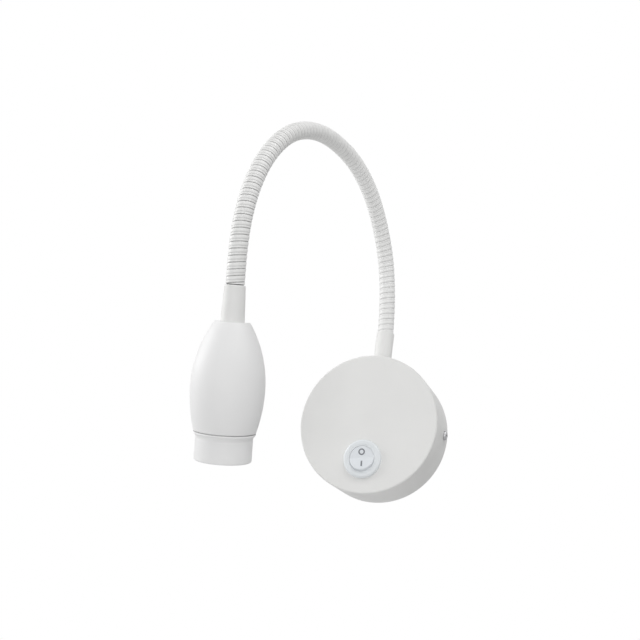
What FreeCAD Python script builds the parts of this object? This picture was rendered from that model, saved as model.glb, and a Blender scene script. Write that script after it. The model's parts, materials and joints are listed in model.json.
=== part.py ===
import FreeCAD, Part
import math
import os

# A bedside reading lamp for a wall: a round canopy with a rocker switch, a ribbed gooseneck and an
# egg-shaped lamp head.  Millimetres and degrees.  The wall is the plane y = 0, the lamp stands out
# of it towards -Y, +Z is up, and the origin is the centre of the canopy's back.

Vector = FreeCAD.Vector
Placement = FreeCAD.Placement
Rotation = FreeCAD.Rotation
os.makedirs("parts", exist_ok=True)

# ---------------------------------------------------------------- driving dimensions
# canopy, the round box on the wall
CANOPY_DIAMETER = 85.0
CANOPY_DEPTH = 30.0
CANOPY_WALL = 1.5
CANOPY_EDGE_RADIUS = 1.0

# mounting plate behind the canopy
PLATE_THICKNESS = 1.5
PLATE_CLEARANCE = 1.0          # between the plate's rim and the canopy
EAR_WIDTH = 10.0
EAR_LENGTH = 14.0
SLOT_SPACING = 58.0            # between the two wall-screw slots
SLOT_WIDTH = 4.5
SLOT_LENGTH = 9.0
CABLE_HOLE_DIAMETER = 10.0
CABLE_HOLE_DROP = 5.5          # below the canopy's centre
GROMMET_BORE = 7.0
GROMMET_FLANGE = 1.5           # how far the grommet's flange stands out, and its thickness

# fasteners
SIDE_SCREW_DIAMETER = 3.0
SIDE_SCREW_SETBACK = 9.0       # from the wall to the side screws' axis
SIDE_SCREW_HEAD = 5.6
SIDE_SCREW_HEAD_HEIGHT = 1.7
SMALL_SCREW_DIAMETER = 2.9
SMALL_SCREW_HEAD = 5.0
SMALL_SCREW_HEAD_HEIGHT = 1.6
SCREW_CLEARANCE = 0.15         # round a screw in a plain hole
THREAD_CLEARANCE = 0.05        # round a screw or spigot in its thread
SEAT_GAP = 0.1                 # between pieces that lie in one another

# terminal block
BLOCK_WIDTH = 12.0
BLOCK_HEIGHT = 16.0
BLOCK_DEPTH = 12.0
BLOCK_INSET = 5.0              # from the driver's left end to the block's centre
BLOCK_Z = -13.0
POLE_PITCH = 5.0
LEAD_DIAMETER = 1.6
EARTH_X = 20.0
EARTH_Z = -15.0

# driver, the small power supply
DRIVER_WIDTH = 40.0
DRIVER_HEIGHT = 22.0
DRIVER_DEPTH = 18.0
DRIVER_WALL = 1.2
DRIVER_Z = 14.0
DRIVER_FOOT = 6.0
DRIVER_FOOT_HEIGHT = 8.0
BOARD_THICKNESS = 1.6
BOARD_STANDOFF = 1.8

# round rocker switch
SWITCH_DROP = 22.0             # below the canopy's centre
SWITCH_TURN = 8.0              # the round switch sits turned a little to the left in its hole
BEZEL_DIAMETER = 23.0
BEZEL_HEIGHT = 2.2
SWITCH_BODY_DIAMETER = 19.8
SWITCH_BODY_DEPTH = 16.0
SWITCH_OPENING = 16.3
SWITCH_FLOOR = 1.2
CUTOUT_CLEARANCE = 0.2
ROCKER_SIDE_GAP = 0.14
ROCKER_PIVOT_DEPTH = 0.8       # behind the canopy's face
ROCKER_FACE_HEIGHT = 1.9       # of the valley between the two faces, in front of the canopy
ROCKER_HALF_ANGLE = 7.0
ROCKER_PIN_DIAMETER = 2.0
PIN_CLEARANCE = 0.05
PLUNGER_DIAMETER = 3.0
BLADE_WIDTH = 6.3
BLADE_THICKNESS = 0.8
BLADE_LENGTH = 7.0
BLADE_SPACING = 9.6

# gooseneck: rigid ribbed links that pivot on one another
HOSE_DIAMETER = 10.0
HOSE_BORE = 6.0
RIB_PITCH = 3.45
RIBS_PER_LINK = 5
RIB_DEPTH = 0.38
RIB_FLANK = 0.45
RIB_BAND = 1.5
LINK_COUNT = 17
BALL_RADIUS = 5.2
CUP_CLEARANCE = 0.1
HOSE_Y = -15.0                 # the hose leaves the canopy at half its depth
ARCH_TURN = 17.5               # the arch's plane, turned to the left of straight forward
REST_BENDS = (6, 6, 8, 11.5, 13, 13, 14, 15, 14, 11.5, 11, 13.5, 16, 14.5, 12, 11, 8, 0.5)
REST_SIDE_TILTS = {4: -3.5, 8: -6.0, 12: 5.5, 16: 1.0}
FLEX_LEAD_DIAMETER = 3.0

# ferrules and their nuts
FERRULE_DIAMETER = 11.0
BASE_FERRULE_LENGTH = 20.5
HEAD_FERRULE_END_DIAMETER = 12.6
HEAD_FERRULE_LENGTH = 19.0
SPIGOT_DIAMETER = 8.0
BASE_SPIGOT_LENGTH = 8.0
HEAD_SPIGOT_LENGTH = 14.0
NUT_ACROSS_FLATS = 11.0
NUT_THICKNESS = 3.0
WASHER_DIAMETER = 13.0
WASHER_THICKNESS = 0.8

# lamp head, measured along its axis from the end of the hose
SHOULDER_DIAMETER = 18.6
SHOULDER_CHAMFER = 0.6
HEAD_DIAMETER = 38.6
HEAD_WIDEST = 53.0
HEAD_MOUTH = 75.2
HEAD_MOUTH_DIAMETER = 32.4
HEAD_WALL = 1.5
GROOVE_WIDTH = 0.5
RING_DIAMETER = 29.8
RING_FLARE = 4.0
RING_END = 90.5
RING_LIP = 2.4
RING_WALL = 1.4
RING_SPIGOT_LENGTH = 6.0
RING_EDGE_RADIUS = 0.8
LENS_RECESS = 7.0
LENS_EDGE = 3.0
LENS_DOME = 4.0
HOLDER_WALL = 0.8
SINK_DIAMETER = 28.0
SINK_THICKNESS = 6.0
SINK_NECK_DIAMETER = 12.0
SINK_FACE = 66.0
LED_BOARD_DIAMETER = 24.0
LED_SIZE = 7.0
LED_HEIGHT = 1.2
LED_SCREW_DIAMETER = 2.0
LED_SCREW_HEAD = 3.6
LED_SCREW_CIRCLE = 18.0

# ---------------------------------------------------------------- derived sizes
CANOPY_R = CANOPY_DIAMETER / 2
CANOPY_INNER_R = CANOPY_R - CANOPY_WALL
FACE_Y = -CANOPY_DEPTH
PLATE_R = CANOPY_INNER_R - PLATE_CLEARANCE
EAR_X = math.sqrt(PLATE_R ** 2 - (EAR_WIDTH / 2) ** 2)
SIDE_SCREW_R = SIDE_SCREW_DIAMETER / 2
SMALL_SCREW_R = SMALL_SCREW_DIAMETER / 2
LINK_LENGTH = RIB_PITCH * RIBS_PER_LINK
HOSE_R = HOSE_DIAMETER / 2
BORE_R = HOSE_BORE / 2
CUP_RADIUS = BALL_RADIUS + CUP_CLEARANCE
BALL_RIM = math.sqrt(BALL_RADIUS ** 2 - HOSE_R ** 2)    # height of a link's upper rim over its pivot
CUP_RIM = math.sqrt(CUP_RADIUS ** 2 - HOSE_R ** 2)      # height of the next link's lower rim
FIRST_PIVOT_Z = CANOPY_R + BASE_FERRULE_LENGTH - BALL_RIM
SPIGOT_R = SPIGOT_DIAMETER / 2
MOUTH_R = HEAD_MOUTH_DIAMETER / 2
RING_SPIGOT_R = MOUTH_R - HEAD_WALL - THREAD_CLEARANCE
RING_INNER_R = RING_SPIGOT_R - RING_WALL
HOLDER_R = RING_INNER_R - SEAT_GAP
LENS_R = RING_INNER_R - SEAT_GAP
LENS_FRONT = RING_END - LENS_RECESS
LENS_BACK = LENS_FRONT - LENS_EDGE
SWITCH_BODY_R = SWITCH_BODY_DIAMETER / 2
OPENING_R = SWITCH_OPENING / 2
ROCKER_R = OPENING_R - ROCKER_SIDE_GAP
SWITCH_BACK = -SWITCH_BODY_DEPTH
DRIVER_BACK_Y = -PLATE_THICKNESS
DRIVER_FRONT_Y = DRIVER_BACK_Y - DRIVER_DEPTH
DRIVER_BOTTOM = DRIVER_Z - DRIVER_HEIGHT / 2
DRIVER_TOP = DRIVER_Z + DRIVER_HEIGHT / 2
BOARD_FRONT_Y = DRIVER_BACK_Y - DRIVER_WALL - BOARD_STANDOFF - BOARD_THICKNESS
BLOCK_X = -(DRIVER_WIDTH / 2 - BLOCK_INSET)
BLOCK_FRONT_Y = -PLATE_THICKNESS - BLOCK_DEPTH
BLOCK_TOP = BLOCK_Z + BLOCK_HEIGHT / 2
BLOCK_BOTTOM = BLOCK_Z - BLOCK_HEIGHT / 2
LEAD_Y = BOARD_FRONT_Y - LEAD_DIAMETER / 2 - SEAT_GAP
CONNECTOR_TOP = DRIVER_TOP - DRIVER_WALL - 2.8


# ---------------------------------------------------------------- helpers
def save(name, shape):
    """Write one piece, or a group of separate solids, to its own file."""
    shape = shape.removeSplitter()
    print(name, len(shape.Solids), round(shape.Volume, 2), shape.isValid())
    shape.exportStep("parts/" + name + ".step")


def place(shape, frame):
    return shape.transformed(frame.toMatrix(), True)


def box(low, high):
    size = [high[i] - low[i] for i in range(3)]
    return Part.makeBox(size[0], size[1], size[2], Vector(*low))


def rod(radius, start, end):
    """A round bar from one point to another."""
    start = Vector(*start)
    along = Vector(*end) - start
    return Part.makeCylinder(radius, along.Length, start, along)


def turned(points):
    """A solid of revolution about Z from a closed profile of (radius, height) points."""
    corners = [Vector(r, 0, z) for r, z in points]
    face = Part.Face(Part.makePolygon(corners + corners[:1]))
    return face.revolve(Vector(0, 0, 0), Vector(0, 0, 1), 360)


def line(a, b):
    return Part.LineSegment(Vector(a[0], 0, a[1]), Vector(b[0], 0, b[1])).toShape()


def arc(a, middle, b):
    points = [Vector(p[0], 0, p[1]) for p in (a, middle, b)]
    return Part.Arc(points[0], points[1], points[2]).toShape()


def turned_edges(edges):
    """A solid of revolution about Z from profile edges in the XZ plane."""
    face = Part.Face(Part.Wire(edges))
    return face.revolve(Vector(0, 0, 0), Vector(0, 0, 1), 360)


def hexagon(across_flats, bottom, height):
    """A hexagonal prism about Z."""
    radius = across_flats / math.sqrt(3)
    corners = []
    for k in range(6):
        angle = math.radians(60 * k)
        corners.append(Vector(radius * math.cos(angle), radius * math.sin(angle), bottom))
    face = Part.Face(Part.makePolygon(corners + corners[:1]))
    return face.extrude(Vector(0, 0, height))


def tube(points, diameter, label):
    """A round lead: straight runs joined by tangent arcs, each as large as its two runs allow."""
    points = [Vector(*p) for p in points]
    edges = []
    start = points[0]
    length = 0.0
    radii = []
    for i in range(1, len(points) - 1):
        before = points[i] - points[i - 1]
        after = points[i + 1] - points[i]
        half_turn = before.getAngle(after) / 2
        shorter = min(before.Length, after.Length)
        back = 0.45 * shorter
        radius = back / math.tan(half_turn)
        radii.append(radius)
        d_in = Vector(before).normalize()
        d_out = Vector(after).normalize()
        arc_start = points[i] - d_in * back
        arc_end = points[i] + d_out * back
        inward = (d_out - d_in).normalize()
        middle = points[i] + inward * (radius / math.cos(half_turn) - radius)
        edges.append(Part.LineSegment(start, arc_start).toShape())
        edges.append(Part.Arc(arc_start, middle, arc_end).toShape())
        start = arc_end
    edges.append(Part.LineSegment(start, points[-1]).toShape())
    path = Part.Wire(edges)
    first = (points[1] - points[0]).normalize()
    section = Part.Wire(Part.makeCircle(diameter / 2, points[0], first))
    solid = path.makePipeShell([section], True, False)
    ideal = math.pi * diameter ** 2 / 4 * path.Length
    if radii:
        print(label, "least radius", round(min(radii), 2), "length", round(path.Length, 1))
    print(label, "volume over section times length", round(solid.Volume / ideal, 4))
    return solid


def screw(diameter, head, head_height, length, recess=0.5):
    """A pan-head screw about Z: the head's seat is at height 0 and the shank runs down."""
    shank = Part.makeCylinder(diameter / 2, length, Vector(0, 0, -length))
    cap = Part.makeCylinder(head / 2, head_height)
    top = [e for e in cap.Edges if abs(e.CenterOfMass.z - head_height) < 1e-6]
    cap = cap.makeFillet(head_height * 0.6, top[:1])
    long = head * 0.3
    wide = head * 0.07
    floor = head_height * (1 - recess)
    cross = box((-long, -wide, floor), (long, wide, head_height))
    cross = cross.fuse(box((-wide, -long, floor), (wide, long, head_height)))
    return cap.fuse(shank).cut(cross)


# local frames: +Z of the local shape points along the named direction
def outward(x, y, z):
    """Local +Z points out of the wall, towards -Y, and local +Y is up."""
    return Placement(Vector(x, y, z), Rotation(Vector(1, 0, 0), 90))


def sideways(side, x, y, z):
    """Local +Z points to +X for side 1 and to -X for side -1."""
    return Placement(Vector(side * x, y, z), Rotation(Vector(0, 1, 0), 90 * side))


SWITCH_FRAME = outward(0, FACE_Y, -SWITCH_DROP).multiply(Placement(Vector(), Rotation(Vector(0, 0, 1), SWITCH_TURN)))


# ---------------------------------------------------------------- gooseneck frames
def hose_frames():
    """The frame of every link at rest: origin on its lower pivot, +Z along the link, +X to the
    inside of the arch.  The last frame belongs to the lamp head."""
    turn = math.radians(ARCH_TURN)
    forward = Vector(-math.sin(turn), -math.cos(turn), 0)
    up = Vector(0, 0, 1)
    frame = Placement(Vector(0, HOSE_Y, FIRST_PIVOT_Z), Rotation(forward, up.cross(forward), up, "ZXY"))
    step = Placement(Vector(0, 0, LINK_LENGTH), Rotation())
    frames = []
    for junction, bend in enumerate(REST_BENDS):
        tilt = REST_SIDE_TILTS.get(junction, 0.0)
        frame = frame.multiply(Placement(Vector(), Rotation(Vector(0, 1, 0), bend)))
        frame = frame.multiply(Placement(Vector(), Rotation(Vector(1, 0, 0), tilt)))
        frames.append(frame)
        frame = frame.multiply(step)
    return frames


FRAMES = hose_frames()
HEAD_FRAME = FRAMES[LINK_COUNT].multiply(Placement(Vector(0, 0, CUP_RIM), Rotation()))


# ---------------------------------------------------------------- canopy and wall plate
def make_canopy():
    shell = rod(CANOPY_R, (0, FACE_Y, 0), (0, 0, 0))
    front = [e for e in shell.Edges if abs(e.CenterOfMass.y - FACE_Y) < 1e-6 and e.Closed]
    shell = shell.makeFillet(CANOPY_EDGE_RADIUS, front[:1])
    shell = shell.cut(rod(CANOPY_INNER_R, (0, FACE_Y + CANOPY_WALL, 0), (0, 1, 0)))
    spigot_hole = SPIGOT_R + SEAT_GAP
    shell = shell.cut(rod(spigot_hole, (0, HOSE_Y, CANOPY_R - 5), (0, HOSE_Y, CANOPY_R + 5)))
    cutout = SWITCH_BODY_R + CUTOUT_CLEARANCE
    shell = shell.cut(rod(cutout, (0, FACE_Y - 1, -SWITCH_DROP), (0, FACE_Y + 5, -SWITCH_DROP)))
    screw_hole = SIDE_SCREW_R + SCREW_CLEARANCE
    for side in (-1, 1):
        outside = (side * (CANOPY_R + 1), -SIDE_SCREW_SETBACK, 0)
        inside = (side * (CANOPY_INNER_R - 1), -SIDE_SCREW_SETBACK, 0)
        shell = shell.cut(rod(screw_hole, outside, inside))
    save("canopy", shell)


def slot(x, z, length, width, y0, y1):
    """A slot that runs along X, cut through Y."""
    half = (length - width) / 2
    cutter = box((x - half, y0, z - width / 2), (x + half, y1, z + width / 2))
    for side in (-1, 1):
        cutter = cutter.fuse(rod(width / 2, (x + side * half, y0, z), (x + side * half, y1, z)))
    return cutter


def driver_foot_x():
    return DRIVER_WIDTH / 2 + DRIVER_FOOT / 2


def make_mounting_plate():
    plate = rod(PLATE_R, (0, -PLATE_THICKNESS, 0), (0, 0, 0))
    for side in (-1, 1):
        x = sorted((side * EAR_X, side * (EAR_X - PLATE_THICKNESS)))
        plate = plate.fuse(box((x[0], -EAR_LENGTH, -EAR_WIDTH / 2), (x[1], 0, EAR_WIDTH / 2)))
    through = (-EAR_LENGTH, 1.0)
    hole_z = -CABLE_HOLE_DROP
    plate = plate.cut(rod(CABLE_HOLE_DIAMETER / 2, (0, through[0], hole_z), (0, through[1], hole_z)))
    thread = SIDE_SCREW_R + THREAD_CLEARANCE
    for side in (-1, 1):
        plate = plate.cut(slot(side * SLOT_SPACING / 2, 0, SLOT_LENGTH, SLOT_WIDTH, *through))
        outside = (side * (EAR_X + 1), -SIDE_SCREW_SETBACK, 0)
        inside = (side * (EAR_X - PLATE_THICKNESS - 1), -SIDE_SCREW_SETBACK, 0)
        plate = plate.cut(rod(thread, outside, inside))
    small_thread = SMALL_SCREW_R + THREAD_CLEARANCE
    places = [(-driver_foot_x(), DRIVER_Z), (driver_foot_x(), DRIVER_Z), (BLOCK_X, BLOCK_Z), (EARTH_X, EARTH_Z)]
    for x, z in places:
        plate = plate.cut(rod(small_thread, (x, through[0], z), (x, through[1], z)))
    save("mounting_plate", plate)


def make_side_screws():
    length = CANOPY_R - EAR_X + PLATE_THICKNESS + 2
    pieces = []
    for side in (-1, 1):
        one = screw(SIDE_SCREW_DIAMETER, SIDE_SCREW_HEAD, SIDE_SCREW_HEAD_HEIGHT, length)
        pieces.append(place(one, sideways(side, CANOPY_R, -SIDE_SCREW_SETBACK, 0)))
    save("side_screws", Part.makeCompound(pieces))


def make_cable_grommet():
    body_r = CABLE_HOLE_DIAMETER / 2 - THREAD_CLEARANCE
    flange_r = CABLE_HOLE_DIAMETER / 2 + GROMMET_FLANGE
    bore_r = GROMMET_BORE / 2
    profile = [(bore_r, 0), (body_r, 0), (body_r, PLATE_THICKNESS), (flange_r, PLATE_THICKNESS),
               (flange_r - 0.4, PLATE_THICKNESS + GROMMET_FLANGE), (bore_r, PLATE_THICKNESS + GROMMET_FLANGE)]
    save("cable_grommet", place(turned(profile), outward(0, 0, -CABLE_HOLE_DROP)))


# ---------------------------------------------------------------- terminal block and driver
def pole_positions():
    return [BLOCK_X - POLE_PITCH / 2, BLOCK_X + POLE_PITCH / 2]


def make_terminal_block():
    low = (BLOCK_X - BLOCK_WIDTH / 2, BLOCK_FRONT_Y, BLOCK_BOTTOM)
    high = (BLOCK_X + BLOCK_WIDTH / 2, -PLATE_THICKNESS, BLOCK_TOP)
    block = box(low, high)
    lead_r = LEAD_DIAMETER / 2 + SCREW_CLEARANCE
    clamp_r = POLE_PITCH * 0.3
    clamp_z = BLOCK_HEIGHT / 4
    clamps = []
    for x in pole_positions():
        block = block.cut(rod(lead_r, (x, LEAD_Y, BLOCK_BOTTOM - 1), (x, LEAD_Y, BLOCK_TOP + 1)))
        for z in (BLOCK_Z - clamp_z, BLOCK_Z + clamp_z):
            block = block.cut(rod(clamp_r + THREAD_CLEARANCE, (x, BLOCK_FRONT_Y - 1, z), (x, LEAD_Y - lead_r, z)))
            clamps.append(rod(clamp_r, (x, BLOCK_FRONT_Y + 1, z), (x, LEAD_Y - lead_r, z)))
    hole = SMALL_SCREW_R + SCREW_CLEARANCE
    head_r = SMALL_SCREW_HEAD / 2 + SCREW_CLEARANCE
    seat_y = -PLATE_THICKNESS - BLOCK_DEPTH * 0.3
    block = block.cut(rod(hole, (BLOCK_X, BLOCK_FRONT_Y - 1, BLOCK_Z), (BLOCK_X, 1, BLOCK_Z)))
    block = block.cut(rod(head_r, (BLOCK_X, BLOCK_FRONT_Y - 1, BLOCK_Z), (BLOCK_X, seat_y, BLOCK_Z)))
    save("terminal_block", block)
    save("terminal_clamp_screws", Part.makeCompound(clamps))
    length = -seat_y
    fixing = screw(SMALL_SCREW_DIAMETER, SMALL_SCREW_HEAD, SMALL_SCREW_HEAD_HEIGHT, length)
    save("terminal_block_screw", place(fixing, outward(BLOCK_X, seat_y, BLOCK_Z)))


def make_earth_point():
    """The ring tag lies on the plate under its own screw."""
    tag_thickness = BLADE_THICKNESS
    tag_y = -PLATE_THICKNESS - tag_thickness
    outer_r = SMALL_SCREW_HEAD / 2 + 1
    tag = rod(outer_r, (EARTH_X, tag_y, EARTH_Z), (EARTH_X, -PLATE_THICKNESS, EARTH_Z))
    blade = box((EARTH_X - 1.5, tag_y, EARTH_Z - outer_r - 7), (EARTH_X + 1.5, -PLATE_THICKNESS, EARTH_Z))
    tag = tag.fuse(blade)
    tag = tag.cut(rod(SMALL_SCREW_R + SCREW_CLEARANCE, (EARTH_X, tag_y - 1, EARTH_Z), (EARTH_X, 1, EARTH_Z)))
    save("earth_tag", tag)
    fixing = screw(SMALL_SCREW_DIAMETER, SMALL_SCREW_HEAD, SMALL_SCREW_HEAD_HEIGHT, -tag_y)
    save("earth_screw", place(fixing, outward(EARTH_X, tag_y, EARTH_Z)))


def make_driver():
    half = DRIVER_WIDTH / 2
    case = box((-half, DRIVER_FRONT_Y, DRIVER_BOTTOM), (half, DRIVER_BACK_Y, DRIVER_TOP))
    inner_low = (-half + DRIVER_WALL, DRIVER_FRONT_Y - 1, DRIVER_BOTTOM + DRIVER_WALL)
    inner_high = (half - DRIVER_WALL, DRIVER_BACK_Y - DRIVER_WALL, DRIVER_TOP - DRIVER_WALL)
    case = case.cut(box(inner_low, inner_high))
    foot_top_y = DRIVER_BACK_Y - DRIVER_WALL * 1.5
    foot_z = DRIVER_FOOT_HEIGHT / 2
    for side in (-1, 1):
        x = sorted((side * (half - 0.1), side * (half + DRIVER_FOOT)))
        foot = box((x[0], foot_top_y, DRIVER_Z - foot_z), (x[1], DRIVER_BACK_Y, DRIVER_Z + foot_z))
        hole_x = side * driver_foot_x()
        foot = foot.cut(rod(SMALL_SCREW_R + SCREW_CLEARANCE, (hole_x, foot_top_y - 1, DRIVER_Z), (hole_x, 1, DRIVER_Z)))
        case = case.fuse(foot)
    board_back_y = BOARD_FRONT_Y + BOARD_THICKNESS
    for x in (-half + 4, half - 4):
        for z in (DRIVER_BOTTOM + 4, DRIVER_TOP - 4):
            case = case.fuse(rod(1.5, (x, board_back_y, z), (x, DRIVER_BACK_Y - DRIVER_WALL / 2, z)))
    lead_hole = FLEX_LEAD_DIAMETER / 2 + SCREW_CLEARANCE
    case = case.cut(rod(lead_hole, (0, HOSE_Y, DRIVER_TOP - DRIVER_WALL - 1), (0, HOSE_Y, DRIVER_TOP + 1)))
    wire_hole = LEAD_DIAMETER / 2 + SCREW_CLEARANCE
    switched_x = blade_point(0, BLADE_SPACING / 2)[0]
    for x in (pole_positions()[0], switched_x):
        case = case.cut(rod(wire_hole, (x, LEAD_Y, DRIVER_BOTTOM - 1), (x, LEAD_Y, DRIVER_BOTTOM + DRIVER_WALL + 1)))
    save("driver_case", case)

    lid = box((-half, DRIVER_FRONT_Y - DRIVER_WALL, DRIVER_BOTTOM), (half, DRIVER_FRONT_Y, DRIVER_TOP))
    lip = half - DRIVER_WALL - SEAT_GAP
    lip_z = DRIVER_HEIGHT / 2 - DRIVER_WALL - SEAT_GAP
    lip_end = DRIVER_FRONT_Y + 1.0
    lid = lid.fuse(box((-lip, DRIVER_FRONT_Y - 0.1, DRIVER_Z - lip_z), (lip, lip_end, DRIVER_Z + lip_z)))
    save("driver_lid", lid)

    edge = half - DRIVER_WALL - 0.3
    edge_z = DRIVER_HEIGHT / 2 - DRIVER_WALL - 0.3
    board = box((-edge, BOARD_FRONT_Y, DRIVER_Z - edge_z), (edge, BOARD_FRONT_Y + BOARD_THICKNESS, DRIVER_Z + edge_z))
    in_board = BOARD_FRONT_Y + BOARD_THICKNESS / 2
    free_front = lip_end + 0.8
    transformer = box((-15, free_front, DRIVER_Z - 6), (-5, in_board, DRIVER_Z + 6))
    capacitor = rod(3.5, (12, free_front + 1, DRIVER_Z - 3), (12, in_board, DRIVER_Z - 3))
    choke = rod(2.2, (6, free_front + 5, DRIVER_Z + 4.5), (6, in_board, DRIVER_Z + 4.5))
    connector_half = FLEX_LEAD_DIAMETER / 2 + 0.9
    connector = box((-connector_half, HOSE_Y - connector_half, CONNECTOR_TOP - 5), (connector_half, in_board, CONNECTOR_TOP))
    for component in (transformer, capacitor, choke, connector):
        board = board.fuse(component)
    save("driver_board", board)

    pieces = []
    for side in (-1, 1):
        one = screw(SMALL_SCREW_DIAMETER, SMALL_SCREW_HEAD, SMALL_SCREW_HEAD_HEIGHT, -foot_top_y)
        pieces.append(place(one, outward(side * driver_foot_x(), foot_top_y, DRIVER_Z)))
    save("driver_screws", Part.makeCompound(pieces))


def blade_point(x, y):
    """A point of the switch's blades as (x, z) of the canopy, from the switch's own x and y."""
    point = SWITCH_FRAME.multVec(Vector(x, y, 0))
    return point.x, point.z


def make_leads():
    """Leads inside the canopy: supply to driver, switch to driver, and supply to switch."""
    into_driver = DRIVER_BOTTOM + DRIVER_WALL + 2
    neutral_x, live_x = pole_positions()
    neutral = tube([(neutral_x, LEAD_Y, BLOCK_TOP - 2), (neutral_x, LEAD_Y, into_driver)], LEAD_DIAMETER, "neutral")
    clear = LEAD_DIAMETER / 2 * math.tan(math.radians(abs(SWITCH_TURN))) + THREAD_CLEARANCE
    upper_x, upper_z = blade_point(0, BLADE_SPACING / 2 + BLADE_THICKNESS / 2)
    switched = tube([(upper_x, LEAD_Y, upper_z + clear), (upper_x, LEAD_Y, into_driver)], LEAD_DIAMETER, "switched")
    save("driver_leads", Part.makeCompound([neutral, switched]))
    side_x, side_z = blade_point(-BLADE_WIDTH / 2, -BLADE_SPACING / 2)
    live_points = [(live_x, LEAD_Y, BLOCK_BOTTOM + 2), (live_x, LEAD_Y, side_z), (side_x - clear, LEAD_Y, side_z)]
    save("switch_lead", tube(live_points, LEAD_DIAMETER, "live"))


# ---------------------------------------------------------------- rocker switch
ROCKER_REST = Placement(Vector(0, 0, -ROCKER_PIVOT_DEPTH), Rotation(Vector(1, 0, 0), -ROCKER_HALF_ANGLE))
SPRING_LENGTH = 4.8
PLUNGER_LENGTH = 5.4
TONGUE_LENGTH = 7.5
ROCKER_SLAB = 3.6              # from the pivot down to the rocker's underside
PLUNGER_TOP = -SPRING_LENGTH
PLUNGER_TIP = PLUNGER_TOP - PLUNGER_LENGTH
LEVER_GAP = 0.4
LEVER_PIVOT = -ROCKER_PIVOT_DEPTH + PLUNGER_TIP - LEVER_GAP - BLADE_THICKNESS


def make_switch_housing():
    bezel_r = BEZEL_DIAMETER / 2
    top = BEZEL_HEIGHT
    inner = OPENING_R
    edges = [line((0, SWITCH_BACK), (SWITCH_BODY_R, SWITCH_BACK)),
             line((SWITCH_BODY_R, SWITCH_BACK), (SWITCH_BODY_R, 0)),
             line((SWITCH_BODY_R, 0), (bezel_r, 0)),
             line((bezel_r, 0), (bezel_r, top * 0.35)),
             arc((bezel_r, top * 0.35), (bezel_r - top * 0.19, top * 0.81), (bezel_r - top * 0.65, top)),
             line((bezel_r - top * 0.65, top), (inner + 0.5, top)),
             line((inner + 0.5, top), (inner, top - 0.4)),
             line((inner, top - 0.4), (inner, SWITCH_BACK + SWITCH_FLOOR)),
             line((inner, SWITCH_BACK + SWITCH_FLOOR), (0, SWITCH_BACK + SWITCH_FLOOR)),
             line((0, SWITCH_BACK + SWITCH_FLOOR), (0, SWITCH_BACK))]
    housing = turned_edges(edges)
    lug_top = -CANOPY_WALL - SEAT_GAP
    for side in (-1, 1):
        x = sorted((side * (SWITCH_BODY_R - 0.3), side * (SWITCH_BODY_R + 0.9)))
        housing = housing.fuse(box((x[0], -2.5, lug_top - 4), (x[1], 2.5, lug_top)))
    pin_bore = ROCKER_PIN_DIAMETER / 2 + PIN_CLEARANCE
    reach = SWITCH_BODY_R + 2
    housing = housing.cut(rod(pin_bore, (-reach, 0, -ROCKER_PIVOT_DEPTH), (reach, 0, -ROCKER_PIVOT_DEPTH)))
    for side in (-1, 1):
        y = side * BLADE_SPACING / 2
        hole_x = BLADE_WIDTH / 2 + THREAD_CLEARANCE
        hole_y = BLADE_THICKNESS / 2 + THREAD_CLEARANCE
        housing = housing.cut(box((-hole_x, y - hole_y, SWITCH_BACK - 1), (hole_x, y + hole_y, SWITCH_BACK + SWITCH_FLOOR + 1)))
    save("switch_housing", place(housing, SWITCH_FRAME))


def make_rocker():
    """Two faces that meet in a shallow valley, with a ball-shaped rim about the pivot.  At rest its
    upper face, the off side, is pressed flush."""
    reach = ROCKER_R + 2
    valley = ROCKER_FACE_HEIGHT + ROCKER_PIVOT_DEPTH
    rise = reach * math.tan(math.radians(ROCKER_HALF_ANGLE))
    outline = [(-reach, -ROCKER_SLAB), (reach, -ROCKER_SLAB), (reach, valley + rise), (0, valley), (-reach, valley + rise)]
    corners = [Vector(-reach, y, z) for y, z in outline]
    slab = Part.Face(Part.makePolygon(corners + corners[:1])).extrude(Vector(2 * reach, 0, 0))
    rocker = slab.common(Part.makeSphere(ROCKER_R))
    tongue_r = PLUNGER_DIAMETER / 2 + 1.1
    rocker = rocker.fuse(rod(tongue_r, (0, 0, -1), (0, 0, -TONGUE_LENGTH)))
    pin_end = SWITCH_BODY_R - CUTOUT_CLEARANCE
    rocker = rocker.fuse(rod(ROCKER_PIN_DIAMETER / 2, (-pin_end, 0, 0), (pin_end, 0, 0)))
    bore_r = PLUNGER_DIAMETER / 2 + PIN_CLEARANCE
    rocker = rocker.cut(rod(bore_r, (0, 0, 0), (0, 0, -TONGUE_LENGTH - 1)))
    frame = SWITCH_FRAME.multiply(ROCKER_REST)
    save("rocker", place(rocker, frame))

    spring_r = PLUNGER_DIAMETER / 2 - 0.1
    spring = turned([(spring_r - 0.5, 0), (spring_r, 0), (spring_r, -SPRING_LENGTH), (spring_r - 0.5, -SPRING_LENGTH)])
    save("rocker_spring", place(spring, frame))
    tip_r = PLUNGER_DIAMETER / 2
    plunger = rod(tip_r, (0, 0, PLUNGER_TOP), (0, 0, PLUNGER_TIP + tip_r))
    plunger = plunger.fuse(Part.makeSphere(tip_r, Vector(0, 0, PLUNGER_TIP + tip_r)))
    save("rocker_plunger", place(plunger, frame))


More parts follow.
